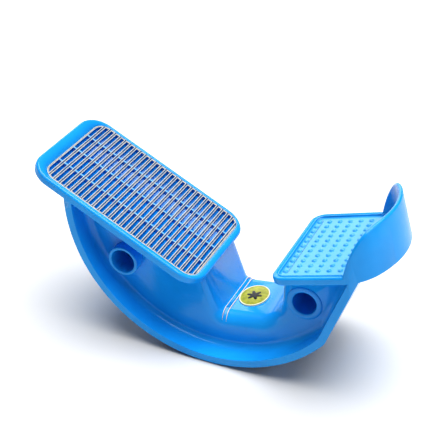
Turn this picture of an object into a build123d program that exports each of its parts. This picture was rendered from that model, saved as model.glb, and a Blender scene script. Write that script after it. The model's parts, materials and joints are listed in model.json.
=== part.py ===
from build123d import *
from math import asin, atan2, cos, degrees, pi, radians, sin, sqrt
import os


# Foot rocker with two massage plates, standing on its curved sole.
# X runs from the toe end to the heel end, Y across the foot, Z up.
# The side outline is drawn in a plane whose origin is the centre of the sole's arc,
# and rest_turn turns that plane to the pose in which the rocker stands still.

# ---- driving dimensions, mm and degrees ----
overall_width = 95.0
half_width = overall_width / 2
sole_radius = 113.5          # outer arc of the rocker
arc_centre_x = 6.63          # puts the origin under the middle of the overall length
rest_turn = 0.0

wall = 2.6                   # moulded wall of the body
heel_wall = 7.0              # thicker wall at the heel end, which also balances the toe plate
sole_thickness = 2.8
rim_height = 5.7             # side rim round the rocker
tread_thickness = 2.2
tread_proud = 1.2
gap = 0.15                   # fitting gap round the inserts
overcut = 1.0                # how far a cut starts outside the face it opens

block_foot = (2.8, -82.2)    # where the block wall would meet the saddle floor
heel_wall_foot = (48.9, -76.0)
saddle_rounds = (4.0, 19.0)  # at the foot of the block wall and of the heel wall

toe_angle = -27.3            # toe plate, falling towards the heel
toe_edge = (-141.8, 21.1)
toe_length = 151.2
toe_thickness = 6.6
toe_corner = 18.1
toe_top_round = 2.0
plate_round = 1.5            # other edges of both plates
grid_depth = 3.4
grid_start = 10.5
grid_length = 135.2
grid_width = 86.8
grid_corner = 10.4
grid_frame = 1.3
rib_pitch = 4.93
rib_count = 27
rib_width = 2.3
first_rib = 15.6
long_rib_pitch = 21.00
long_rib_count = 3
long_rib_width = 1.5

heel_angle = 16.1            # heel plate, rising towards the heel
heel_centre = (74.1, -18.6)
heel_thickness = 5.7
heel_front = -28.8           # front edge, from the middle of the dome pattern
heel_corner = 10.4
heel_margin = 4.8
cup_start = 23.8             # where the sides start to curve round the heel
cup_depth = 34.2
cup_corner = 28.5
cup_wall = 3.3
cup_height = 30.4
cup_skirt = 3.0
cup_edge_round = 1.39
cup_sweep = ((2.0, -0.5), (11.0, 17.0), (24.0, 29.6))   # top edge, from cup_start and the plate's face
cup_sweep_turn = 68.0        # steepness of that edge where it leaves the plate
pad_thickness = 1.5
pad_sink = 1.1
dome_pitch_x = 8.21
dome_pitch_y = 7.04
dome_columns = 6
dome_rows = 11
dome_radius = 1.8
dome_height = 1.2
dome_round = 1.14

spine_half = 30.4            # middle body under the plates
spine_round = 11.5
cove_radius = 5.7            # hollow fillet from the spine to the rocker
heel_end_angle = -37.9       # where the sole's arc turns up into a straight wall
inner_corner_round = 14.0
outer_corner_round = 4.0
pocket_run_out = 15.0        # the side pockets pass the heel wall's top by this much
pocket_top = 60.0            # and reach above both plates
pocket_toe_end = -130.0
sole_start = 182.0           # toe end of the sole plate
sole_end = -40.5
sole_overcut = 4.0
sole_pocket_slack = 0.2      # degrees at each end of the sole plate
foot_bar = (3.8, 4.0)        # raised bar across the foot of the block wall, most of it sunk in
foot_bar_place = (1.0, -0.7)
foot_bar_tilt = -27.0

toe_tube_centre = (-72.2, -49.0)
toe_tube_radius = 12.0
toe_tube_bore = 9.4
toe_tube_half = 39.4
heel_tube_centre = (68.1, -52.0)
heel_tube_radius = 11.6
heel_tube_bore = 9.0
hole_round = 1.8
ring_round = 0.8
tube_clearance = 0.05

badge_place = 15.4           # along the saddle floor from the foot of the block wall
badge_across = 28.0
badge_along = 22.8
badge_thickness = 1.2
badge_border = 1.0
badge_recess = 0.4
emblem_height = 0.55
petal_count = 6
petal_radius = 2.0
petal_ring = 4.4
emblem_core = 3.8

screw_turns = (-70.0, -28.5, 9.5, 28.5)      # from the lowest point of the sole, clear of the treads
screw_y = 24.5
boss_radius = 4.2
boss_height = 18.0
screw_radius = 1.5
screw_head_radius = 3.1
screw_head_height = 1.4
screw_shank = 16.8
pilot_depth = 18.8

tread_count = 5
tread_pitch = 19.0           # degrees between strips
tread_width = 20.0           # flat faces, so the rocker stands still on the middle one
tread_half = 39.9

os.makedirs("parts", exist_ok=True)

# ---- planes and helpers ----
centre_z = sole_radius + tread_proud


def turned(angle):
    """Unit vector in the XZ plane at an angle of the side outline."""
    full = radians(angle + rest_turn)
    return (cos(full), 0, sin(full))


side = Plane(origin=(arc_centre_x, 0, centre_z), x_dir=turned(0), z_dir=(0, -1, 0))


def turned_flat(angle):
    """Unit direction inside the side outline."""
    return (cos(radians(angle)), sin(radians(angle)))


def side_point(u, w):
    """World point of a point of the side outline."""
    return side.from_local_coords(Vector(u, w, 0))


def plate_plane(point, angle, lift=0):
    """Plane of a plate: X along the plate, Z out of its upper face."""
    base = Plane(origin=side_point(*point), x_dir=turned(angle), z_dir=turned(angle + 90))
    return base.offset(lift)


def along(point, angle, distance, rise=0):
    """Point of the side outline, a distance along a plate and a rise above its face."""
    a = radians(angle)
    return (point[0] + distance * cos(a) - rise * sin(a), point[1] + distance * sin(a) + rise * cos(a))


def polar(radius, angle):
    """Point of the side outline from the centre of the sole's arc."""
    return (radius * cos(radians(angle)), radius * sin(radians(angle)))


block_top = along(toe_edge, toe_angle, toe_length - 0.8, -2.2)
heel_wall_top = along(heel_centre, heel_angle, heel_front + 1.0, -heel_thickness + 1.0)

# The heel end of the rocker is a straight wall that leans outwards.
heel_end_corner = polar(sole_radius, heel_end_angle)
heel_end_top = along(heel_centre, heel_angle, 37.0, -3.5)
lean = atan2(heel_end_top[1] - heel_end_corner[1], heel_end_top[0] - heel_end_corner[0])
heel_end_inner_top = (heel_end_top[0] - rim_height * sin(lean), heel_end_top[1] + rim_height * cos(lean))
wall_run_out = (
    heel_end_inner_top[0] + pocket_run_out * cos(lean),
    heel_end_inner_top[1] + pocket_run_out * sin(lean),
)
inner_radius = sole_radius - rim_height
reach_along = heel_end_inner_top[0] * cos(lean) + heel_end_inner_top[1] * sin(lean)
reach_across = heel_end_inner_top[0] ** 2 + heel_end_inner_top[1] ** 2 - reach_along ** 2
run_down = reach_along + sqrt(inner_radius ** 2 - reach_across)
heel_end_inner_corner = (
    heel_end_inner_top[0] - run_down * cos(lean),
    heel_end_inner_top[1] - run_down * sin(lean),
)
inner_end_angle = degrees(atan2(heel_end_inner_corner[1], heel_end_inner_corner[0]))

# The heel cup is two corner arcs joined by a flatter back arc.
side_gap = half_width - cup_corner
back_arc = (side_gap ** 2 + cup_depth ** 2 - cup_corner ** 2) / (2 * (cup_depth - cup_corner))
cup_turn = 90 - degrees(asin(side_gap / (back_arc - cup_corner)))

toe_plane = plate_plane(toe_edge, toe_angle)
heel_plane = plate_plane(heel_centre, heel_angle)
sole_face_radius = sole_radius - sole_thickness
grid_middle = grid_start + grid_length / 2
band_start = 179.0           # toe end of the rocker's arc
band_size = 360 + heel_end_angle - band_start


def body_outline():
    """Side outline of the whole body below its plates."""
    sole_arc = CenterArc((0, 0), sole_radius, band_start, band_size)
    Polyline(sole_arc @ 1, heel_end_top, heel_wall_top)
    FilletPolyline(heel_wall_top, heel_wall_foot, block_foot, block_top, radius=saddle_rounds[::-1])
    Polyline(block_top, along(toe_edge, toe_angle, toe_length - 7, -5), sole_arc @ 0)


def pocket_outline():
    """Side outline of the recess beside the middle body, open above the plates."""
    inner_arc = CenterArc((0, 0), inner_radius, band_start, 360 + inner_end_angle - band_start)
    Polyline(
        inner_arc @ 1,
        wall_run_out,
        (pocket_top, pocket_top),
        (pocket_toe_end, pocket_top),
        inner_arc @ 0,
    )


def heel_outline(inset):
    """Outline of the heel plate, straight in front and rounded round the heel."""
    half = half_width - inset
    front = heel_front + inset
    corner = max(heel_corner - inset, 3.0)
    low = Line((front + corner, -half), (cup_start, -half))
    near = JernArc(low @ 1, low % 1, cup_corner - inset, cup_turn)
    back = JernArc(near @ 1, near % 1, back_arc - inset, 2 * (90 - cup_turn))
    far = JernArc(back @ 1, back % 1, cup_corner - inset, cup_turn)
    top = Line(far @ 1, (front + corner, half))
    first = JernArc(top @ 1, top % 1, corner, 90)
    edge = Line(first @ 1, (front, -half + corner))
    JernArc(edge @ 1, edge % 1, corner, 90)


def band_outline(outer_radius, inner, start, size):
    """Side outline of a curved strip round the centre of the sole's arc."""
    top = CenterArc((0, 0), outer_radius, start, size)
    low = CenterArc((0, 0), inner, start, size)
    Line(top @ 0, low @ 0)
    Line(top @ 1, low @ 1)


def cup_side_outline():
    """Side view of the heel cup: the top edge sweeps up and levels off."""
    first = cup_start + cup_sweep[0][0]
    last = cup_start + cup_depth + 2 * overcut
    edge = Spline(
        *[along(heel_centre, heel_angle, cup_start + run, rise) for run, rise in cup_sweep],
        along(heel_centre, heel_angle, last, cup_height),
        tangents=[turned_flat(heel_angle + cup_sweep_turn), turned_flat(heel_angle)],
    )
    Polyline(
        edge @ 1,
        along(heel_centre, heel_angle, last, -cup_skirt - overcut),
        along(heel_centre, heel_angle, first, -cup_skirt - overcut),
        edge @ 0,
    )


def radial_plane(radius, angle, outward):
    """Plane across the sole's radius, its normal outwards or towards the centre."""
    normal = turned(angle) if outward else turned(angle + 180)
    return Plane(origin=side_point(*polar(radius, angle)), x_dir=(0, 1, 0), z_dir=normal)


def row_of(count, pitch):
    """Evenly spaced places either side of zero."""
    return [(i - (count - 1) / 2) * pitch for i in range(count)]


saddle_angle = degrees(atan2(heel_wall_foot[1] - block_foot[1], heel_wall_foot[0] - block_foot[0]))
lowest = -90 - rest_turn     # angle of the lowest point of the sole
sole_size = 360 + sole_end - sole_start
sole_half = half_width - wall - gap
screw_spots = [(lowest + turn, y) for turn in screw_turns for y in (-screw_y, screw_y)]

# ---- recesses beside the middle body, with a hollow round at their foot ----
with BuildPart() as side_pockets:
    with BuildSketch(side.offset(spine_half)):
        with BuildLine():
            pocket_outline()
        make_face()
    extrude(amount=overall_width)
    corner = side_pockets.edges().filter_by(Axis.Y).sort_by_distance(side_point(*heel_end_inner_corner))[0]
    fillet(corner, inner_corner_round)
    foot_edges = side_pockets.faces().sort_by(Axis.Y)[-1].edges().filter_by(
        lambda e: e.center().Z < side_point(*heel_end_inner_top).Z and e.center().X > side_point(-105, 0).X
    )
    fillet(foot_edges, cove_radius)
    mirror(about=Plane.XZ)

# ---- heel cup wall, swept round the heel end ----
with BuildPart() as heel_cup:
    with BuildSketch(heel_plane.offset(-cup_skirt)):
        with BuildLine():
            heel_outline(0)
        make_face()
        with BuildLine():
            heel_outline(cup_wall)
        make_face(mode=Mode.SUBTRACT)
    extrude(amount=cup_skirt + cup_height + 2)
    with BuildSketch(side):
        with BuildLine():
            cup_side_outline()
        make_face()
    extrude(amount=half_width + 2, both=True, mode=Mode.INTERSECT)
    cup_top = heel_cup.edges().filter_by(
        lambda e: heel_plane.to_local_coords(e.center()).Z > 8
    )
    fillet(cup_top, cup_edge_round)

# ---- toe plate and heel plate slabs ----
with BuildPart() as toe_slab:
    with BuildSketch(toe_plane):
        with Locations((toe_length / 2, 0)):
            RectangleRounded(toe_length, overall_width, toe_corner)
    extrude(amount=-toe_thickness)
    fillet(toe_slab.faces().sort_by(Axis((0, 0, 0), toe_plane.z_dir))[-1].edges(), toe_top_round)
    fillet(toe_slab.faces().sort_by(Axis((0, 0, 0), toe_plane.z_dir))[0].edges(), plate_round)

with BuildPart() as heel_slab:
    with BuildSketch(heel_plane):
        with BuildLine():
            heel_outline(0)
        make_face()
    extrude(amount=-heel_thickness)
    fillet(heel_slab.faces().sort_by(Axis((0, 0, 0), heel_plane.z_dir))[-1].edges(), plate_round)
    fillet(heel_slab.faces().sort_by(Axis((0, 0, 0), heel_plane.z_dir))[0].edges(), plate_round)

# ---- screw bosses inside the body, ending on the curved sole face ----
with BuildPart() as bosses:
    for angle, y in screw_spots:
        with BuildSketch(radial_plane(sole_radius, angle, outward=False)):
            with Locations((y, 0)):
                Circle(boss_radius)
        extrude(amount=boss_height + sole_thickness)
    with BuildSketch(side):
        Circle(sole_face_radius)
    extrude(amount=half_width, both=True, mode=Mode.INTERSECT)

# ---- hollow of the middle body ----
with BuildPart() as hollow:
    with BuildSketch(side):
        with BuildLine():
            body_outline()
        make_face()
        offset(amount=-wall, kind=Kind.INTERSECTION)
        Circle(sole_face_radius, mode=Mode.INTERSECT)
        with Locations(heel_end_corner):
            Rectangle(2 * sole_radius, 2 * heel_wall, rotation=degrees(lean), mode=Mode.SUBTRACT)
    extrude(amount=spine_half - wall, both=True)
    hollow_edges = hollow.edges().filter_by(
        lambda e: abs(abs(e.center().Y) - spine_half + wall) < 0.01
        and side_point(*block_top).X < e.center().X < side_point(*heel_wall_top).X + 3
        and e.center().Z > side_point(0, -100).Z
    )
    fillet(hollow_edges, spine_round - wall)

# ---- body shell: plates, heel cup, middle body and rocker in one moulding ----
with BuildPart() as body_shell:
    with BuildSketch(side):
        with BuildLine():
            body_outline()
        make_face()
    extrude(amount=half_width, both=True)
    heel_corner_edge = body_shell.edges().filter_by(Axis.Y).sort_by_distance(side_point(*heel_end_corner))[0]
    fillet(heel_corner_edge, outer_corner_round)
    add(side_pockets.part, mode=Mode.SUBTRACT)
    top_edges = body_shell.edges().filter_by(
        lambda e: abs(abs(e.center().Y) - spine_half) < 0.01
        and side_point(*block_top).X + 1 < e.center().X < side_point(*heel_wall_top).X + 1
        and e.center().Z > side_point(0, -96).Z
    )
    fillet(top_edges, spine_round)

    # the rocker's sides follow the rounded outline of the heel plate
    with BuildSketch(heel_plane.offset(-cup_height)):
        with Locations((cup_start, 0)):
            Rectangle(2 * cup_depth, 2 * overall_width, align=(Align.MIN, Align.CENTER))
        with BuildLine():
            heel_outline(0)
        make_face(mode=Mode.SUBTRACT)
    extrude(amount=2 * cup_height, mode=Mode.SUBTRACT)

    add(toe_slab.part)
    add(heel_slab.part)
    add(heel_cup.part)
    add(hollow.part, mode=Mode.SUBTRACT)

    # recesses for the two massage inserts
    with BuildSketch(toe_plane):
        with Locations((grid_middle, 0)):
            RectangleRounded(grid_length + 2 * gap, grid_width + 2 * gap, grid_corner)
    extrude(amount=-grid_depth, mode=Mode.SUBTRACT)
    with BuildSketch(heel_plane):
        with BuildLine():
            heel_outline(heel_margin)
        make_face()
    extrude(amount=-(pad_thickness + pad_sink), mode=Mode.SUBTRACT)

    # pocket under the rocker for the sole plate
    with BuildSketch(side):
        with BuildLine():
            band_outline(
                sole_radius + sole_overcut,
                sole_face_radius,
                sole_start - sole_pocket_slack,
                sole_size + 2 * sole_pocket_slack,
            )
        make_face()
    extrude(amount=sole_half + gap, both=True, mode=Mode.SUBTRACT)

    # raised bar at the foot of the block wall
    with BuildSketch(side):
        with Locations(along(block_foot, saddle_angle, *foot_bar_place)):
            Rectangle(*foot_bar, rotation=saddle_angle + foot_bar_tilt)
    extrude(amount=spine_half - spine_round, both=True)

    # round openings for the two cross tubes
    with BuildSketch(side):
        with Locations(toe_tube_centre):
            Circle(toe_tube_radius + tube_clearance)
        with Locations(heel_tube_centre):
            Circle(heel_tube_radius + tube_clearance)
    extrude(amount=half_width, both=True, mode=Mode.SUBTRACT)

    # screw bosses with their pilot holes
    add(bosses.part)
    for angle, y in screw_spots:
        with BuildSketch(radial_plane(sole_radius, angle, outward=False)):
            with Locations((y, 0)):
                Circle(screw_radius)
        extrude(amount=pilot_depth, mode=Mode.SUBTRACT)

# ---- massage grid of the toe plate ----
rib_places = [(first_rib + i * rib_pitch, 0) for i in range(rib_count)]
with BuildPart() as toe_massage_grid:
    with BuildSketch(toe_plane.offset(-grid_depth)):
        with Locations((grid_middle, 0)):
            RectangleRounded(grid_length, grid_width, grid_corner - gap)
            RectangleRounded(
                grid_length - 2 * grid_frame,
                grid_width - 2 * grid_frame,
                grid_corner - gap - grid_frame,
                mode=Mode.SUBTRACT,
            )
        with Locations(*rib_places):
            Rectangle(rib_width, grid_width - 1)
        with Locations(*[(grid_middle, y) for y in row_of(long_rib_count, long_rib_pitch)]):
            Rectangle(grid_length - 1, long_rib_width)
        with Locations((grid_middle, 0)):
            RectangleRounded(grid_length, grid_width, grid_corner - gap, mode=Mode.INTERSECT)
    extrude(amount=grid_depth)

# ---- dome pad of the heel plate ----
with BuildPart() as heel_dome_pad:
    with BuildSketch(heel_plane.offset(-pad_sink - pad_thickness)):
        with BuildLine():
            heel_outline(heel_margin + gap)
        make_face()
    extrude(amount=pad_thickness)
    dome_places = [
        (x, y) for x in row_of(dome_columns, dome_pitch_x) for y in row_of(dome_rows, dome_pitch_y)
    ]
    with BuildSketch(heel_plane.offset(-pad_sink)):
        with Locations(*dome_places):
            Circle(dome_radius)
    extrude(amount=dome_height)
    dome_tops = heel_dome_pad.edges().filter_by(
        lambda e: heel_plane.to_local_coords(e.center()).Z > dome_height - pad_sink - 0.01
    )
    fillet(dome_tops, dome_round)

# ---- cross tubes ----
with BuildPart() as toe_cross_tube:
    with BuildSketch(side):
        with Locations(toe_tube_centre):
            Circle(toe_tube_radius)
            Circle(toe_tube_bore, mode=Mode.SUBTRACT)
    extrude(amount=toe_tube_half, both=True)
    fillet(toe_cross_tube.edges().group_by(Axis.Y)[0], ring_round)
    fillet(toe_cross_tube.edges().group_by(Axis.Y)[-1], ring_round)

with BuildPart() as heel_cross_tube:
    with BuildSketch(side):
        with Locations(heel_tube_centre):
            Circle(heel_tube_radius)
            Circle(heel_tube_bore, mode=Mode.SUBTRACT)
    extrude(amount=spine_half, both=True)
    inner_rims = heel_cross_tube.edges().filter_by(
        lambda e: e.length < 2 * pi * (heel_tube_bore + ring_round) and abs(e.center().Y) > spine_half - 0.1
    )
    fillet(inner_rims, hole_round)

# ---- sole plate ----
with BuildPart() as sole_plate:
    with BuildSketch(side):
        with BuildLine():
            band_outline(sole_radius, sole_face_radius, sole_start, sole_size)
        make_face()
    extrude(amount=sole_half, both=True)
    for turn in row_of(tread_count, tread_pitch):
        with BuildSketch(radial_plane(sole_radius + tread_proud, lowest + turn, outward=False)):
            Rectangle(2 * tread_half, tread_width)
        extrude(amount=tread_thickness, mode=Mode.SUBTRACT)
    for angle, y in screw_spots:
        with BuildSketch(radial_plane(sole_radius + overcut, angle, outward=False)):
            with Locations((y, 0)):
                Circle(screw_head_radius + gap)
        extrude(amount=overcut + screw_head_height + gap, mode=Mode.SUBTRACT)
        with BuildSketch(radial_plane(sole_radius + overcut, angle, outward=False)):
            with Locations((y, 0)):
                Circle(screw_radius + gap)
        extrude(amount=sole_thickness + 2 * overcut, mode=Mode.SUBTRACT)

# ---- self-tapping screws, one group of eight ----
with BuildPart() as sole_screws:
    for angle, y in screw_spots:
        head_plane = radial_plane(sole_radius - gap, angle, outward=False)
        with BuildSketch(head_plane):
            with Locations((y, 0)):
                Circle(screw_head_radius)
        extrude(amount=screw_head_height)
        with BuildSketch(head_plane):
            with Locations((y, 0)):
                Circle(screw_radius)
        extrude(amount=screw_shank)

# ---- rubber tread strips ----
tread_strips = []
for turn in row_of(tread_count, tread_pitch):
    with BuildPart() as tread_strip:
        with BuildSketch(radial_plane(sole_radius + tread_proud, lowest + turn, outward=False)):
            Rectangle(2 * tread_half, tread_width)
        extrude(amount=tread_thickness)
    tread_strips.append(tread_strip.part)

# ---- badge on the saddle floor ----
badge_point = along(block_foot, saddle_angle, badge_place)
badge_plane = plate_plane(badge_point, saddle_angle)
with BuildPart() as badge_plate:
    with BuildSketch(badge_plane):
        Ellipse(badge_along / 2, badge_across / 2)
    extrude(amount=badge_thickness)
    with BuildSketch(badge_plane.offset(badge_thickness)):
        Ellipse(badge_along / 2 - badge_border, badge_across / 2 - badge_border)
    extrude(amount=-badge_recess, mode=Mode.SUBTRACT)

with BuildPart() as badge_emblem:
    with BuildSketch(badge_plane.offset(badge_thickness - badge_recess)):
        Circle(emblem_core)
        with PolarLocations(petal_ring, petal_count):
            Circle(petal_radius)
    extrude(amount=emblem_height)

pieces = {
    "body_shell": body_shell.part,
    "sole_plate": sole_plate.part,
    "toe_massage_grid": toe_massage_grid.part,
    "heel_dome_pad": heel_dome_pad.part,
    "toe_cross_tube": toe_cross_tube.part,
    "heel_cross_tube": heel_cross_tube.part,
    "badge_plate": badge_plate.part,
    "badge_emblem": badge_emblem.part,
    "sole_screws": sole_screws.part,
}
for number, strip in enumerate(tread_strips, 1):
    pieces[f"tread_strip_{number}"] = strip

for name, piece in pieces.items():
    piece.label = name
    export_step(piece, f"parts/{name}.step")
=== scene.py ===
import json
from math import asin, cos, pi, radians, sin, sqrt

import bmesh
import bpy
import numpy as np
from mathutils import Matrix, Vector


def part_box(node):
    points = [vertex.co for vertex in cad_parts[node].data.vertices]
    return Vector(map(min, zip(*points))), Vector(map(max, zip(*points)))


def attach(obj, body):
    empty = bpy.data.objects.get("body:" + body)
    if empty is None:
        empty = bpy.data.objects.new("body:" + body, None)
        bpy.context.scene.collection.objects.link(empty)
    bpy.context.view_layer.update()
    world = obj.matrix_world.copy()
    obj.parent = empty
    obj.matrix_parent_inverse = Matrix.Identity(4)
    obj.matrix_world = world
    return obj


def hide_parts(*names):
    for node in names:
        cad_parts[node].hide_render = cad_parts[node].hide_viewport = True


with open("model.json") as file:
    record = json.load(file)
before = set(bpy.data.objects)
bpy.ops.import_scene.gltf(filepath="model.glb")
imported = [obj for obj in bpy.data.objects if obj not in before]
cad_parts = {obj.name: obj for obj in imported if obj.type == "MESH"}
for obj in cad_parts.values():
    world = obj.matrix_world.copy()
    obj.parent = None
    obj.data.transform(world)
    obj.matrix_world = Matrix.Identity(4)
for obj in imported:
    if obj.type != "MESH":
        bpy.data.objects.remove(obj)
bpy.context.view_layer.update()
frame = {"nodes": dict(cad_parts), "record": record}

mm = 0.001
record = frame["record"]
mountPlace = {mount["name"]: mount["pos_m"] for mount in record["mounts"]}
arcX = mountPlace["tread_rest"][0]                    # the rocker stands under the centre of its arc


# small tools
def plateFrame(place, angle):
    # Maps (along, across, rise) in mm on a tilted plate to metres: place + along * direction + rise * normal.
    a = radians(angle)
    origin = np.array([place[0], 0.0, place[1]])
    axes = np.array([[cos(a), 0, sin(a)], [0, 1, 0], [-sin(a), 0, cos(a)]])
    return lambda points: (origin + np.asarray(points, float) @ axes) * mm


def gridFaces(rows, columns, closeRows=False, closeColumns=False, start=0):
    # Quads between neighbouring rows and columns of a grid of points, wrapping round where it is closed.
    index = np.arange(rows * columns).reshape(rows, columns) + start
    if closeRows:
        index = np.vstack([index, index[:1]])
    if closeColumns:
        index = np.hstack([index, index[:, :1]])
    quads = np.stack([index[:-1, :-1], index[1:, :-1], index[1:, 1:], index[:-1, 1:]], axis=-1)
    return quads.reshape(-1, 4)


def finishMesh(mesh, sharpAngle):
    # Merges doubles, turns the faces outwards and keeps edges sharper than the angle.
    work = bmesh.new()
    work.from_mesh(mesh)
    bmesh.ops.remove_doubles(work, verts=work.verts, dist=2e-6)
    bmesh.ops.dissolve_degenerate(work, edges=work.edges, dist=1e-6)
    bmesh.ops.recalc_face_normals(work, faces=work.faces)
    work.to_mesh(mesh)
    work.free()
    mesh.polygons.foreach_set("use_smooth", np.ones(len(mesh.polygons), dtype=bool))
    mesh.set_sharp_from_angle(angle=radians(sharpAngle))
    mesh.update()


def makePiece(name, patches, material, nodes=(), sharpAngle=35, paintedLightMasks=None):
    # One object from (points, faces) patches; the masks hold one value per point for the material's painted
    # highlight and shade.
    points, faces, count = [], [], 0
    for patchPoints, patchFaces in patches:
        flat = np.asarray(patchPoints, float).reshape(-1, 3)
        points.append(flat)
        faces += [[int(i) + count for i in face] for face in patchFaces]
        count += len(flat)
    mesh = bpy.data.meshes.new(name)
    mesh.from_pydata(np.vstack(points).tolist(), [], faces)
    if paintedLightMasks is not None:
        layer = mesh.attributes.new("paintedLightMask", "FLOAT", "POINT")
        layer.data.foreach_set("value", np.concatenate([np.ravel(t) for t in paintedLightMasks]).astype(np.float32))
    finishMesh(mesh, sharpAngle)
    mesh.materials.append(material)
    piece = bpy.data.objects.new(name, mesh)
    bpy.context.scene.collection.objects.link(piece)
    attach(piece, "root")
    if nodes:
        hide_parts(*nodes)
    return piece


def smoothCopy(name, node, material, sharpAngle=32):
    # The CAD node's own shape, with its loose triangles joined and shaded smooth between its real edges.
    mesh = frame["nodes"][node].data.copy()
    mesh.name = name
    mesh.materials.clear()
    finishMesh(mesh, sharpAngle)
    mesh.materials.append(material)
    piece = bpy.data.objects.new(name, mesh)
    bpy.context.scene.collection.objects.link(piece)
    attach(piece, "root")
    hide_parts(node)
    return piece


def linear(hexColour):
    # sRGB hex to linear RGBA.
    channels = [int(hexColour[i:i + 2], 16) / 255 for i in (1, 3, 5)]
    return tuple(c / 12.92 if c <= 0.04045 else ((c + 0.055) / 1.055) ** 2.4 for c in channels) + (1.0,)


def addNode(tree, kind, inputs=None, **settings):
    # A node with its settings, its input values and its links.
    node = tree.nodes.new(kind)
    for key, value in settings.items():
        setattr(node, key, value)
    for key, value in (inputs or {}).items():
        if isinstance(value, bpy.types.NodeSocket):
            tree.links.new(value, node.inputs[key])
        else:
            node.inputs[key].default_value = value
    return node


def newMaterial(name, **shader):
    # A material with a Principled shader, and the shader's own values.
    material = bpy.data.materials.new(name)
    material.use_nodes = True
    principled = material.node_tree.nodes["Principled BSDF"]
    for key, value in shader.items():
        principled.inputs[key.replace("_", " ")].default_value = value
    return material, material.node_tree, principled


def setRamp(ramp, stops):
    # Colour ramp stops as (position, linear colour).
    while len(ramp.color_ramp.elements) < len(stops):
        ramp.color_ramp.elements.new(0.5)
    for element, (position, colour) in zip(ramp.color_ramp.elements, stops):
        element.position = position
        element.color = colour


# materials
def polypropylene(name, light, dark, roughness, flowScale, peelDepth):
    # Injection-moulded polypropylene: clean saturated colour, glossy, with faint flow marks and orange peel.
    material, tree, principled = newMaterial(name, IOR=1.49, Specular_IOR_Level=0.4)
    place = addNode(tree, "ShaderNodeTexCoord")
    flow = addNode(tree, "ShaderNodeTexNoise", {
        "Vector": place.outputs["Object"], "Scale": 1 / (flowScale * mm),
        "Detail": 3.0, "Roughness": 0.55, "Distortion": 0.6,
    })
    tone = addNode(tree, "ShaderNodeValToRGB", {"Fac": flow.outputs["Fac"]})
    setRamp(tone, [(0.32, linear(dark)), (0.68, linear(light))])
    tree.links.new(tone.outputs["Color"], principled.inputs["Base Color"])
    polish = addNode(tree, "ShaderNodeMapRange", {"Value": flow.outputs["Fac"], "To Min": roughness * 0.8,
                                                  "To Max": roughness * 1.25})
    tree.links.new(polish.outputs["Result"], principled.inputs["Roughness"])
    peel = addNode(tree, "ShaderNodeTexNoise", {"Vector": place.outputs["Object"], "Scale": 1 / (2.2 * mm),
                                                "Detail": 2.0})
    bump = addNode(tree, "ShaderNodeBump", {"Height": peel.outputs["Fac"], "Strength": 0.12,
                                            "Distance": peelDepth * mm})
    tree.links.new(bump.outputs["Normal"], principled.inputs["Normal"])
    return material


def ribMaterial(name, face, top, edge):
    # The same polypropylene on the ribs, with painted light from a mask: a pale painted highlight along the
    # shoulders, made patchy by a noise, and a painted top colour along the middle of the top.
    material, tree, principled = newMaterial(name, IOR=1.49, Roughness=0.28)
    place = addNode(tree, "ShaderNodeTexCoord")
    mask = addNode(tree, "ShaderNodeAttribute", attribute_name="paintedLightMask")
    scuffAndHighlightNoise = addNode(tree, "ShaderNodeTexNoise", {"Vector": place.outputs["Object"], "Scale": 1 / (5 * mm),
                                                 "Detail": 3.0})
    patchy = addNode(tree, "ShaderNodeMapRange", {"Value": scuffAndHighlightNoise.outputs["Fac"], "From Min": 0.25,
                                                  "From Max": 0.6, "To Min": 0.72, "To Max": 1.0})
    # painted light level: the mask times the patchy noise picks the side colour, the painted top colour and
    # the painted highlight
    paintedLightLevel = addNode(tree, "ShaderNodeMath", {0: mask.outputs["Fac"], 1: patchy.outputs["Result"]},
                   operation="MULTIPLY")
    ramp = addNode(tree, "ShaderNodeValToRGB", {"Fac": paintedLightLevel.outputs["Value"]})
    setRamp(ramp, [(0.1, linear(face)), (0.45, linear(top)), (0.8, linear(edge))])
    tree.links.new(ramp.outputs["Color"], principled.inputs["Base Color"])
    bump = addNode(tree, "ShaderNodeBump", {
        "Height": scuffAndHighlightNoise.outputs["Fac"], "Strength": 0.15, "Distance": 0.1 * mm,
    })
    tree.links.new(bump.outputs["Normal"], principled.inputs["Normal"])
    return material


def printedBadge(name, light, dark):
    # Printed and domed label: even ink under clear resin, with a fine mottled tint.
    material, tree, principled = newMaterial(name, IOR=1.5, Roughness=0.3)
    place = addNode(tree, "ShaderNodeTexCoord")
    mottle = addNode(tree, "ShaderNodeTexNoise", {"Vector": place.outputs["Object"], "Scale": 1 / (3 * mm),
                                                  "Detail": 4.0})
    tone = addNode(tree, "ShaderNodeValToRGB", {"Fac": mottle.outputs["Fac"]})
    setRamp(tone, [(0.35, linear(dark)), (0.65, linear(light))])
    tree.links.new(tone.outputs["Color"], principled.inputs["Base Color"])
    return material


def treadRubber(name):
    # Moulded styrene rubber: matt and nearly black, with dusty wear and a fine grain.
    material, tree, principled = newMaterial(name, IOR=1.52)
    place = addNode(tree, "ShaderNodeTexCoord")
    dust = addNode(tree, "ShaderNodeTexNoise", {"Vector": place.outputs["Object"], "Scale": 1 / (14 * mm),
                                                "Detail": 5.0})
    tone = addNode(tree, "ShaderNodeValToRGB", {"Fac": dust.outputs["Fac"]})
    setRamp(tone, [(0.35, linear("#14171c")), (0.75, linear("#2c3036"))])
    tree.links.new(tone.outputs["Color"], principled.inputs["Base Color"])
    matt = addNode(tree, "ShaderNodeMapRange", {"Value": dust.outputs["Fac"], "To Min": 0.55, "To Max": 0.85})
    tree.links.new(matt.outputs["Result"], principled.inputs["Roughness"])
    grain = addNode(tree, "ShaderNodeTexNoise", {"Vector": place.outputs["Object"], "Scale": 1 / (0.6 * mm)})
    bump = addNode(tree, "ShaderNodeBump", {
        "Height": grain.outputs["Fac"], "Strength": 0.4, "Distance": 0.15 * mm,
    })
    tree.links.new(bump.outputs["Normal"], principled.inputs["Normal"])
    return material


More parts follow.
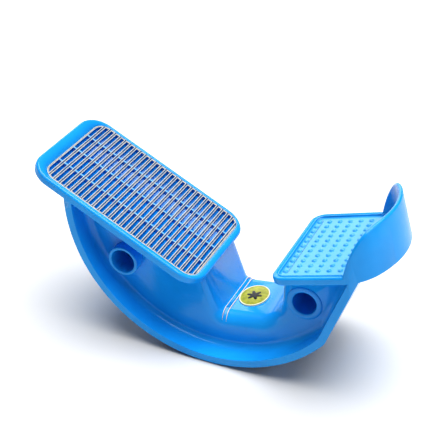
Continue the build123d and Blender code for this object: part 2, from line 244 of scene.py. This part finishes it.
def zincSteel(name):
    # Zinc-plated steel: bright, slightly yellow grey, with the cloudy spangle of barrel plating.
    material, tree, principled = newMaterial(name, Metallic=1.0)
    place = addNode(tree, "ShaderNodeTexCoord")
    cloud = addNode(tree, "ShaderNodeTexNoise", {"Vector": place.outputs["Object"], "Scale": 1 / (1.5 * mm),
                                                 "Detail": 4.0})
    tone = addNode(tree, "ShaderNodeValToRGB", {"Fac": cloud.outputs["Fac"]})
    setRamp(tone, [(0.3, linear("#9d9c95")), (0.7, linear("#d6d5cf"))])
    tree.links.new(tone.outputs["Color"], principled.inputs["Base Color"])
    polish = addNode(tree, "ShaderNodeMapRange", {
        "Value": cloud.outputs["Fac"], "To Min": 0.22, "To Max": 0.45,
    })
    tree.links.new(polish.outputs["Result"], principled.inputs["Roughness"])
    return material


bodyBlue = polypropylene("mouldedPolypropyleneBlue", "#1ea2f2", "#1798ea", 0.2, 45, 0.06)
soleBlue = polypropylene("mouldedPolypropyleneSole", "#168ddc", "#1283d2", 0.4, 30, 0.2)
padBlue = polypropylene("mouldedPolypropylenePad", "#4db2f0", "#41a8ea", 0.2, 25, 0.08)
# ribs: plain blue sides, a dark painted shade along the top's middle, a cream painted highlight on the
# shoulders
ribBlue = ribMaterial("mouldedPolypropyleneRib", "#2c8ad6", "#2d4f78", "#e2d9c6")
# cross ribs: blue sides, a lighter painted highlight on the top and a paler one on the shoulders
crossRibBlue = ribMaterial("mouldedPolypropyleneCrossRib", "#3f9be4", "#56aaea", "#7cbcee")
badgeOlive = printedBadge("domedLabelOlive", "#b3b234", "#8f9226")
badgeCream = printedBadge("domedLabelCream", "#f1ecc8", "#e6dfb4")
badgeBlack = printedBadge("domedLabelBlack", "#15161a", "#0c0d10")
rubberBlack = treadRubber("mouldedTreadRubber")
platedSteel = zincSteel("zincPlatedSteel")
print("materials ready")


# body, sole plate and cross tubes: the CAD shapes, shaded smooth
smoothCopy("bodyMoulding", "body_shell", bodyBlue)
smoothCopy("soleCover", "sole_plate", soleBlue)
smoothCopy("toeTube", "toe_cross_tube", bodyBlue)
smoothCopy("heelTube", "heel_cross_tube", bodyBlue)
print("mouldings ready")

# toe plate: ribbed massage grid
toePlate = {
    "place": (arcX / mm - 141.8, 135.8),   # mm, far edge of the plate's upper face
    "angle": -27.3,
    "gridStart": 10.5,
    "gridLength": 135.2,
    "gridWidth": 86.8,
    "gridCorner": 10.25,
    "frameWidth": 1.3,
    "depth": 3.4,
    "ribs": 27,
    "firstRib": 15.6,
    "ribPitch": 4.93,
    "ribWidth": 2.3,
    "edgeRound": 0.45,
    "crossRibs": 3,
    "crossPitch": 21.0,
    "crossWidth": 1.5,
}
onToe = plateFrame(toePlate["place"], toePlate["angle"])


def roundedOutline(length, width, radius, steps=12):
    # Rounded rectangle about its middle: four quarter circles joined by straight sides.
    # Gives points and outward normals.
    turn = np.linspace(0, pi / 2, steps)
    points, normals = [], []
    for k, (sx, sy) in enumerate([(1, 1), (-1, 1), (-1, -1), (1, -1)]):
        angle = turn + k * pi / 2
        normal = np.stack([np.cos(angle), np.sin(angle)], axis=-1)
        points.append(np.array([sx * (length / 2 - radius), sy * (width / 2 - radius)]) + radius * normal)
        normals.append(normal)
    return np.vstack(points), np.vstack(normals)


def ribProfile(width, height, edge, steps=4):
    # Closed cross-section of a rib: straight sides, rounded shoulders, flat top.
    # The painted light mask is 0 on the sides, 1 on the shoulders (painted highlight) and a half along the
    # middle of the top.
    turn = np.linspace(0, pi / 2, steps)
    right = np.stack([width / 2 - edge + edge * np.cos(turn), -edge + edge * np.sin(turn)], axis=-1)
    middle = np.array([[width / 2 - edge - 0.12, 0], [0, 0], [-width / 2 + edge + 0.12, 0]])
    side = np.array([[width / 2, -edge - 0.15]])
    half = np.vstack([[[width / 2, -height]], side, right])
    profile = np.vstack([half, middle, half[::-1] * [-1, 1]])
    shoulder = np.concatenate([[0, 0], np.ones(steps)])
    return profile, np.concatenate([shoulder, [0.5, 0.5, 0.5], shoulder[::-1]])


def ribPatch(profile, start, end, across):
    # A profile carried from start to end: across picks whether the rib runs along Y or along X of the plate.
    stations = []
    for place in (start, end):
        flat = np.zeros((len(profile), 3))
        flat[:, 0] = place[0] + (profile[:, 0] if across else 0)
        flat[:, 1] = place[1] + (0 if across else profile[:, 0])
        flat[:, 2] = profile[:, 1]
        stations.append(flat)
    count = len(profile)
    faces = gridFaces(2, count, closeColumns=True).tolist()
    faces += [list(range(count)), list(range(2 * count - 1, count - 1, -1))]
    return np.vstack(stations), faces


def buildToeGrid(t):
    # Round-topped ribs across the plate at an even pitch, thinner ones along it, and a frame whose
    # section is carried round a rounded rectangle.
    gridMiddle = t["gridStart"] + t["gridLength"] / 2
    halfLength, halfWidth = t["gridLength"] / 2 - 0.4, t["gridWidth"] / 2 - 0.4
    profile, mask = ribProfile(t["ribWidth"], t["depth"], t["edgeRound"])
    patches, paintedLightMasks = [], []
    for i in range(t["ribs"]):
        along = t["firstRib"] + i * t["ribPitch"]
        inCorner = max(abs(along - gridMiddle) - (halfLength - t["gridCorner"]), 0)
        half = halfWidth - t["gridCorner"] + sqrt(max(t["gridCorner"] ** 2 - inCorner ** 2, 0))
        points, faces = ribPatch(profile, (along, -half), (along, half), True)
        patches.append((onToe(points), faces))
        paintedLightMasks.append(np.tile(mask, 2))
    makePiece("massageRibs", patches, ribBlue, ["toe_massage_grid"], paintedLightMasks=paintedLightMasks)

    profile, mask = ribProfile(t["crossWidth"], t["depth"] - 0.12, 0.35)
    patches, paintedLightMasks = [], []
    for i in range(t["crossRibs"]):
        across = (i - (t["crossRibs"] - 1) / 2) * t["crossPitch"]
        start, end = (gridMiddle - halfLength, across), (gridMiddle + halfLength, across)
        points, faces = ribPatch(profile, start, end, False)
        points[:, 2] -= 0.12
        patches.append((onToe(points), faces))
        paintedLightMasks.append(np.tile(mask, 2))
    makePiece("massageCrossRibs", patches, crossRibBlue, ["toe_massage_grid"],
              paintedLightMasks=paintedLightMasks)

    profile, mask = ribProfile(t["frameWidth"], t["depth"], 0.4)
    outline, normals = roundedOutline(t["gridLength"] - t["frameWidth"], t["gridWidth"] - t["frameWidth"],
                                      t["gridCorner"] - t["frameWidth"] / 2)
    flat = outline[:, None, :] + profile[None, :, :1] * normals[:, None, :]
    rise = np.broadcast_to(profile[None, :, 1:], flat.shape[:2] + (1,))
    ring = np.concatenate([flat + [gridMiddle, 0], rise], axis=-1)
    faces = gridFaces(len(outline), len(profile), closeRows=True, closeColumns=True).tolist()
    makePiece("massageFrame", [(onToe(ring.reshape(-1, 3)), faces)], ribBlue,
              ["toe_massage_grid"], paintedLightMasks=[np.tile(mask, len(outline))])


buildToeGrid(toePlate)
print("toe grid ready")

# heel plate: pad with domes
heelPlate = {
    "place": (arcX / mm + 74.1, 96.1),     # mm, middle of the domes on the plate's upper face
    "angle": 16.1,
    "halfWidth": 47.5,
    "front": -28.8,
    "corner": 10.4,
    "margin": 4.95,
    "cupStart": 23.8,
    "cupDepth": 34.2,
    "cupCorner": 28.5,
    "padEdge": [(0, -0.4), (0.12, -0.12), (0.4, 0), (2.5, 0), (6.0, 0)],   # inset and rise of each ring
    "padSink": 1.1,
    "padThickness": 1.5,
    "domeColumns": 6,
    "domeRows": 11,
    "domePitchX": 8.21,
    "domePitchY": 7.04,
    "domeRadius": 1.8,
    "domeHeight": 1.2,
}
onHeel = plateFrame(heelPlate["place"], heelPlate["angle"])


def heelOutline(h, inset, steps=10):
    # Plate outline: round front corners, straight sides, then two corner arcs and a flatter back arc
    # round the heel.
    sideGap = h["halfWidth"] - h["cupCorner"]
    depth, cornerRadius = h["cupDepth"], h["cupCorner"]
    backRadius = (sideGap ** 2 + depth ** 2 - cornerRadius ** 2) / (2 * (depth - cornerRadius))
    cupTurn = pi / 2 - asin(sideGap / (backRadius - h["cupCorner"]))
    corner = max(h["corner"] - inset, 3.0)
    half, front = h["halfWidth"] - inset, h["front"] + inset
    backCentre = h["cupStart"] + h["cupDepth"] - backRadius
    arcs = [
        ((front + corner, -half + corner), corner, pi, 1.5 * pi),
        ((h["cupStart"], -sideGap), h["cupCorner"] - inset, -pi / 2, -pi / 2 + cupTurn),
        ((backCentre, 0), backRadius - inset, -pi / 2 + cupTurn, pi / 2 - cupTurn),
        ((h["cupStart"], sideGap), h["cupCorner"] - inset, pi / 2 - cupTurn, pi / 2),
        ((front + corner, half - corner), corner, pi / 2, pi),
    ]
    points, normals = [], []
    for centre, radius, first, last in arcs:
        angle = np.linspace(first, last, steps)
        normal = np.stack([np.cos(angle), np.sin(angle)], axis=-1)
        points.append(np.array(centre) + radius * normal)
        normals.append(normal)
    return np.vstack(points), np.vstack(normals)


def buildPad(h):
    # The pad is the plate outline, shrunk by an inset and lifted by a rise for each ring. Each dome is
    # a quarter circle turned about its own axis, on a grid of even pitch.
    outline, normals = heelOutline(h, h["margin"])
    top = -h["padSink"]
    # rings from the rounded edge inwards; each ring is (inset, rise)
    rings = [(0, top - h["padThickness"])] + [(inset, top + rise) for inset, rise in h["padEdge"]]
    rows = [np.column_stack([outline - inset * normals, np.full(len(outline), rise)])
            for inset, rise in rings]
    count = len(outline)
    faces = gridFaces(len(rows), count, closeColumns=True).tolist()
    faces.append([(len(rows) - 1) * count + i for i in range(count)])
    faces.append([i for i in range(count)][::-1])
    patches = [(onHeel(np.vstack(rows)), faces)]

    around = np.linspace(0, 2 * pi, 16, endpoint=False)
    climb = np.linspace(0, 1, 6)
    radial = np.cos(climb * pi / 2) * 0.98 + 0.02
    radial[0] = 1.12                        # a small foot fillet
    height = h["domeHeight"] * np.sin(climb * pi / 2)
    height[0] = -0.1
    heights = np.repeat(height[:, None] / h["domeRadius"], len(around), axis=1)
    dome = np.stack([np.outer(radial, np.cos(around)), np.outer(radial, np.sin(around)), heights], axis=-1)
    dome = dome * h["domeRadius"]
    domeFaces = gridFaces(len(climb), len(around), closeColumns=True).tolist()
    domeFaces.append([(len(climb) - 1) * len(around) + i for i in range(len(around))])
    for i in range(h["domeColumns"]):
        for j in range(h["domeRows"]):
            middle = [(i - (h["domeColumns"] - 1) / 2) * h["domePitchX"],
                      (j - (h["domeRows"] - 1) / 2) * h["domePitchY"], top]
            patches.append((onHeel(dome.reshape(-1, 3) + middle), domeFaces))
    makePiece("domePad", patches, padBlue, ["heel_dome_pad"], sharpAngle=50)


buildPad(heelPlate)
print("heel pad ready")

# badge on the saddle floor
badge = {
    "angle": 7.66,
    "thickness": 1.2,
    "border": 1.0,
    "dome": 0.25,
    "petals": 6,
}
badgeLow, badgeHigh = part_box("badge_plate")
badge["halfAcross"] = (badgeHigh[1] - badgeLow[1]) / 2 / mm
badge["halfAlong"] = 11.4
badgeTurn = radians(badge["angle"])
badge["place"] = (
    (badgeLow[0] + badgeHigh[0]) / 2 / mm + badge["thickness"] / 2 * sin(badgeTurn),
    (badgeLow[2] + badgeHigh[2]) / 2 / mm - badge["thickness"] / 2 * cos(badgeTurn),
)
onBadge = plateFrame(badge["place"], badge["angle"])


def ovalRings(rings, steps=64):
    # Ellipses shrunk by an inset and lifted by a rise: the rows of an oval dish.
    turn = np.linspace(0, 2 * pi, steps, endpoint=False)
    rows = [
        np.column_stack([
            (badge["halfAlong"] - inset) * np.cos(turn),
            (badge["halfAcross"] - inset) * np.sin(turn),
            np.full(steps, rise),
        ])
        for inset, rise in rings
    ]
    return rows, steps


def buildBadge(b):
    # Rim and face are oval dishes, made of rings shrunk by an inset and lifted by a rise. The rosette
    # is a circle whose radius swells and shrinks in a cosine, once for each petal.
    top = b["thickness"]
    rows, count = ovalRings([(0, 0), (0, top - 0.3), (0.1, top - 0.08), (0.3, top), (b["border"] - 0.1, top),
                             (b["border"], top - 0.12), (b["border"], 0)])
    faces = gridFaces(len(rows), count, closeRows=True, closeColumns=True).tolist()
    makePiece("badgeRim", [(onBadge(np.vstack(rows)), faces)], badgeCream, ["badge_plate"])

    lens = [(b["border"], 0), (b["border"], top - 0.3)]
    lens += [(b["border"] + s * 5.5, top - 0.3 + b["dome"] * sin(s * pi / 2)) for s in (0.15, 0.35, 0.6, 1.0)]
    rows, count = ovalRings(lens)
    faces = gridFaces(len(rows), count, closeColumns=True).tolist()
    faces += [list(range(count))[::-1], [(len(rows) - 1) * count + i for i in range(count)]]
    makePiece("badgeFace", [(onBadge(np.vstack(rows)), faces)], badgeOlive, ["badge_plate"])

    turn = np.linspace(0, 2 * pi, 96, endpoint=False)
    petal = 4.6 + 1.6 * np.cos(b["petals"] * turn)      # rosette: radius swells once for each petal
    rosette = []
    for scale, rise in [(1, top - 0.4), (1, top + 0.05), (0.94, top + 0.12), (0.5, top + 0.15)]:
        rosette.append(np.column_stack([scale * petal * np.cos(turn), scale * petal * np.sin(turn),
                                        np.full(len(turn), rise)]))
    faces = gridFaces(len(rosette), len(turn), closeColumns=True).tolist()
    faces += [list(range(len(turn)))[::-1], [(len(rosette) - 1) * len(turn) + i for i in range(len(turn))]]
    makePiece("badgeRosette", [(onBadge(np.vstack(rosette)), faces)], badgeBlack,
              ["badge_emblem"])


buildBadge(badge)
print("badge ready")

# moulded ridges across the foot of the block wall
ridges = {
    "fromBadge": (-14.9, -11.9),   # mm along the floor from the middle of the badge
    "lift": (1.25, 0.1),
    "halfAcross": 29.0,
    "flatHalf": 18.9,              # the saddle floor is level to here, then rounds down
    "sideRound": 11.5,
    "radius": 0.55,
    "acrossSteps": 61,
    "roundSteps": 12,
    "taper": (8, 0.02),            # power and smallest share of the radius, towards the ends
    "paintedUpperHighlight": (1.6, -0.4),       # painted highlight: the upper side of each ridge is tinted pale
}


def buildRidges(r):
    # A small round bead carried across the saddle: level in the middle, then down the rounded
    # side in a circle.
    across = np.linspace(-r["halfAcross"], r["halfAcross"], r["acrossSteps"])
    beyond = np.clip(np.abs(across) - r["flatHalf"], 0, r["sideRound"])
    drop = r["sideRound"] - np.sqrt(r["sideRound"] ** 2 - beyond ** 2)
    turn = np.linspace(0, 2 * pi, r["roundSteps"], endpoint=False)
    power, least = r["taper"]
    gain, base = r["paintedUpperHighlight"]
    patches, paintedLightMasks = [], []
    for along, lift in zip(r["fromBadge"], r["lift"]):
        size = r["radius"] * np.sqrt(np.clip(1 - (across / r["halfAcross"]) ** power, least, 1))
        rows = np.stack([along + size[:, None] * np.cos(turn),
                         np.repeat(across[:, None], len(turn), axis=1),
                         (lift - drop)[:, None] + size[:, None] * np.sin(turn)], axis=-1)
        faces = gridFaces(len(across), len(turn), closeColumns=True).tolist()
        lastRow = (len(across) - 1) * len(turn)
        faces += [list(range(len(turn))), [lastRow + i for i in range(len(turn))][::-1]]
        patches.append((onBadge(rows.reshape(-1, 3)), faces))
        # painted highlight, lighter towards the upper side of each ridge
        paintedLightMasks.append(np.tile(np.clip(np.sin(turn) * gain + base, 0, 1), len(across)))
    makePiece("footRidges", patches, ribBlue, paintedLightMasks=paintedLightMasks)


buildRidges(ridges)

# beads round the heel recess, and the flared lips of the heel hole
trim = {
    "beadInset": 4.55,
    "beadRadius": 0.45,
    "lipBore": 9.0,
    "lipOuter": 13.4,
    "lipProud": 0.8,
    "spineHalf": 30.4,
    "innerRound": 1.9,
    "lipSunk": 0.4,
    "beadSunk": 0.1,
    "beadSteps": 10,
    "flareSteps": 13,
    "aroundSteps": 64,
}


def buildBead(t):
    # A half-sunk round bead along the edge of the heel recess.
    outline, normals = heelOutline(heelPlate, t["beadInset"])
    turn = np.linspace(0, 2 * pi, t["beadSteps"], endpoint=False)
    flat = outline[:, None, :] + t["beadRadius"] * np.cos(turn)[None, :, None] * normals[:, None, :]
    height = t["beadRadius"] * np.sin(turn) - t["beadSunk"]
    rise = np.broadcast_to(height[None, :, None], flat.shape[:2] + (1,))
    ring = np.concatenate([flat, rise], axis=-1)
    faces = gridFaces(len(outline), len(turn), closeRows=True, closeColumns=True).tolist()
    makePiece("heelRecessBead", [(onHeel(ring.reshape(-1, 3)), faces)], padBlue)


def buildHoleLips(t):
    # A flare turned about the tube's axis: from the bore it rolls outwards to a low round lip on the web.
    centre = np.array(mountPlace["heel_tube_bore"]) / mm
    turn = np.linspace(0, pi, t["flareSteps"])
    middle, half = (t["lipBore"] + t["lipOuter"]) / 2, (t["lipOuter"] - t["lipBore"]) / 2
    radius = np.concatenate([[t["lipBore"]], middle - half * np.cos(turn), [t["lipOuter"]]])
    proud = np.concatenate([[-t["innerRound"]], t["lipProud"] * np.sin(turn), [-t["lipSunk"]]])
    around = np.linspace(0, 2 * pi, t["aroundSteps"], endpoint=False)
    patches = []
    for side in (-1, 1):
        points = np.stack([centre[0] + radius[:, None] * np.cos(around),
                           side * (t["spineHalf"] + np.repeat(proud[:, None], len(around), axis=1)),
                           centre[2] + radius[:, None] * np.sin(around)], axis=-1)
        faces = gridFaces(len(radius), len(around), closeRows=True, closeColumns=True).tolist()
        patches.append((points.reshape(-1, 3) * mm, faces))
    makePiece("heelHoleLips", patches, bodyBlue)


buildBead(trim)
buildHoleLips(trim)
print("trim ready")

# rubber tread strips
tread = {
    "radius": 114.7,
    "count": 5,
    "pitch": 19.0,         # degrees
    "width": 20.0,
    "halfLength": 39.9,
    "thickness": 2.2,
    "grooves": 6,
    "grooveWidth": 1.1,
    "grooveDepth": 0.7,
    "edge": 0.35,
}


def buildTreads(t):
    # Each strip is one profile, flat with round-bottomed grooves, carried across the sole.
    xs, zs = [-t["width"] / 2, -t["width"] / 2, -t["width"] / 2 + t["edge"]], [t["thickness"], t["edge"], 0]
    spacing = t["width"] / (t["grooves"] + 1)
    for i in range(t["grooves"]):
        middle = -t["width"] / 2 + (i + 1) * spacing
        for turn in np.linspace(0, pi, 7):
            xs.append(middle - cos(turn) * t["grooveWidth"] / 2)
            zs.append(t["grooveDepth"] * sin(turn))
    xs += [t["width"] / 2 - t["edge"], t["width"] / 2, t["width"] / 2]
    zs += [0, t["edge"], t["thickness"]]
    profile = np.column_stack([xs, zs])
    count = len(profile)
    for number in range(1, t["count"] + 1):
        turn = radians((number - 1 - (t["count"] - 1) / 2) * t["pitch"])
        outward = np.array([sin(turn), 0, -cos(turn)])
        forward = np.array([cos(turn), 0, sin(turn)])
        middle = np.array([arcX / mm, 0, t["radius"]]) + t["radius"] * outward
        line = middle + profile[:, :1] * forward - profile[:, 1:] * outward
        points = np.vstack([line + [0, y, 0] for y in (-t["halfLength"], t["halfLength"])]) * mm
        faces = gridFaces(2, count, closeColumns=True).tolist()
        faces += [list(range(count)), list(range(2 * count - 1, count - 1, -1))]
        makePiece(f"gripStrip{number}", [(points, faces)], rubberBlack,
                  [f"tread_strip_{number}"])


buildTreads(tread)
print("treads ready")

# screws
screws = frame["nodes"]["sole_screws"]
screws.data.materials.clear()
screws.data.materials.append(platedSteel)
print("screws ready")

# floor, light and camera
stageLook = {
    "softLights": [            # name, place, point it faces, size in metres, watts
        ("backLight", (-0.7, 1.1, 0.5), (0, 0, 0.08), (1.2, 0.6), 4),
        ("rimLight", (0.9, -0.1, 0.5), (0.05, 0, 0.1), (0.4, 0.6), 1.5),
    ],
    "floorSize": 6.0,
    "floorColour": "#e4e4e4",
    "worldColour": "#ffffff",
    "worldStrength": 0.12,
    "ceilingStrength": 3.7,
    "ceilingSpread": 60,
    "ceilingTurn": (-6, 4, 0),   # degrees
}


def softLight(name, place, aim, size, power):
    # A square soft box at a place, turned to face the aim point.
    lamp = bpy.data.lights.new(name, "AREA")
    lamp.shape = "RECTANGLE"
    lamp.size, lamp.size_y = size
    lamp.energy = power
    holder = bpy.data.objects.new(name, lamp)
    bpy.context.scene.collection.objects.link(holder)
    direction = np.array(aim) - np.array(place)
    holder.location = place
    yaw = np.arctan2(direction[1], direction[0]) - pi / 2
    pitch = np.arctan2(direction[2], np.hypot(direction[0], direction[1])) + pi / 2
    holder.rotation_euler = (pitch, 0, yaw)
    return holder


def buildStage(s):
    # A flat square floor, an even pale sky, a wide sun overhead and two soft lamps.
    half = s["floorSize"] / 2
    mesh = bpy.data.meshes.new("studioFloor")
    corners = [(-half, -half, 0), (half, -half, 0), (half, half, 0), (-half, half, 0)]
    mesh.from_pydata(corners, [], [(0, 1, 2, 3)])
    floor = bpy.data.objects.new("studioFloor", mesh)
    bpy.context.scene.collection.objects.link(floor)
    material, _, principled = newMaterial("paleStudioFloor", Roughness=0.7)
    principled.inputs["Base Color"].default_value = linear(s["floorColour"])
    mesh.materials.append(material)
    world = bpy.data.worlds.new("studioWorld")
    world.use_nodes = True
    background = world.node_tree.nodes["Background"]
    background.inputs["Color"].default_value = linear(s["worldColour"])
    background.inputs["Strength"].default_value = s["worldStrength"]
    bpy.context.scene.world = world
    sky = bpy.data.lights.new("ceilingLight", "SUN")     # a wide, even ceiling of light
    sky.energy = s["ceilingStrength"]
    sky.angle = radians(s["ceilingSpread"])
    ceiling = bpy.data.objects.new("ceilingLight", sky)
    ceiling.rotation_euler = [radians(a) for a in s["ceilingTurn"]]
    bpy.context.scene.collection.objects.link(ceiling)
    for lamp in s["softLights"]:
        softLight(*lamp)


buildStage(stageLook)

view = {
    "place": (arcX + 0.27065, -0.6291, 0.5186),
    "tilt": 58.218,        # degrees from straight down
    "turn": 23.843,        # degrees about Z
    "lens": 88.39,
    "sensor": 36.0,
}


def buildCamera(v):
    # The camera stands at the place fitted to the photograph, tilted and then turned about Z.
    lens = bpy.data.cameras.new("viewCamera")
    lens.lens = v["lens"]
    lens.sensor_width = v["sensor"]
    camera = bpy.data.objects.new("viewCamera", lens)
    camera.location = v["place"]
    camera.rotation_euler = (radians(v["tilt"]), 0, radians(v["turn"]))
    bpy.context.scene.collection.objects.link(camera)
    bpy.context.scene.camera = camera


buildCamera(view)
bpy.context.scene.view_settings.view_transform = "Standard"   # true, saturated plastic colours
bpy.context.scene.view_settings.look = "Medium High Contrast"
print("stage ready")
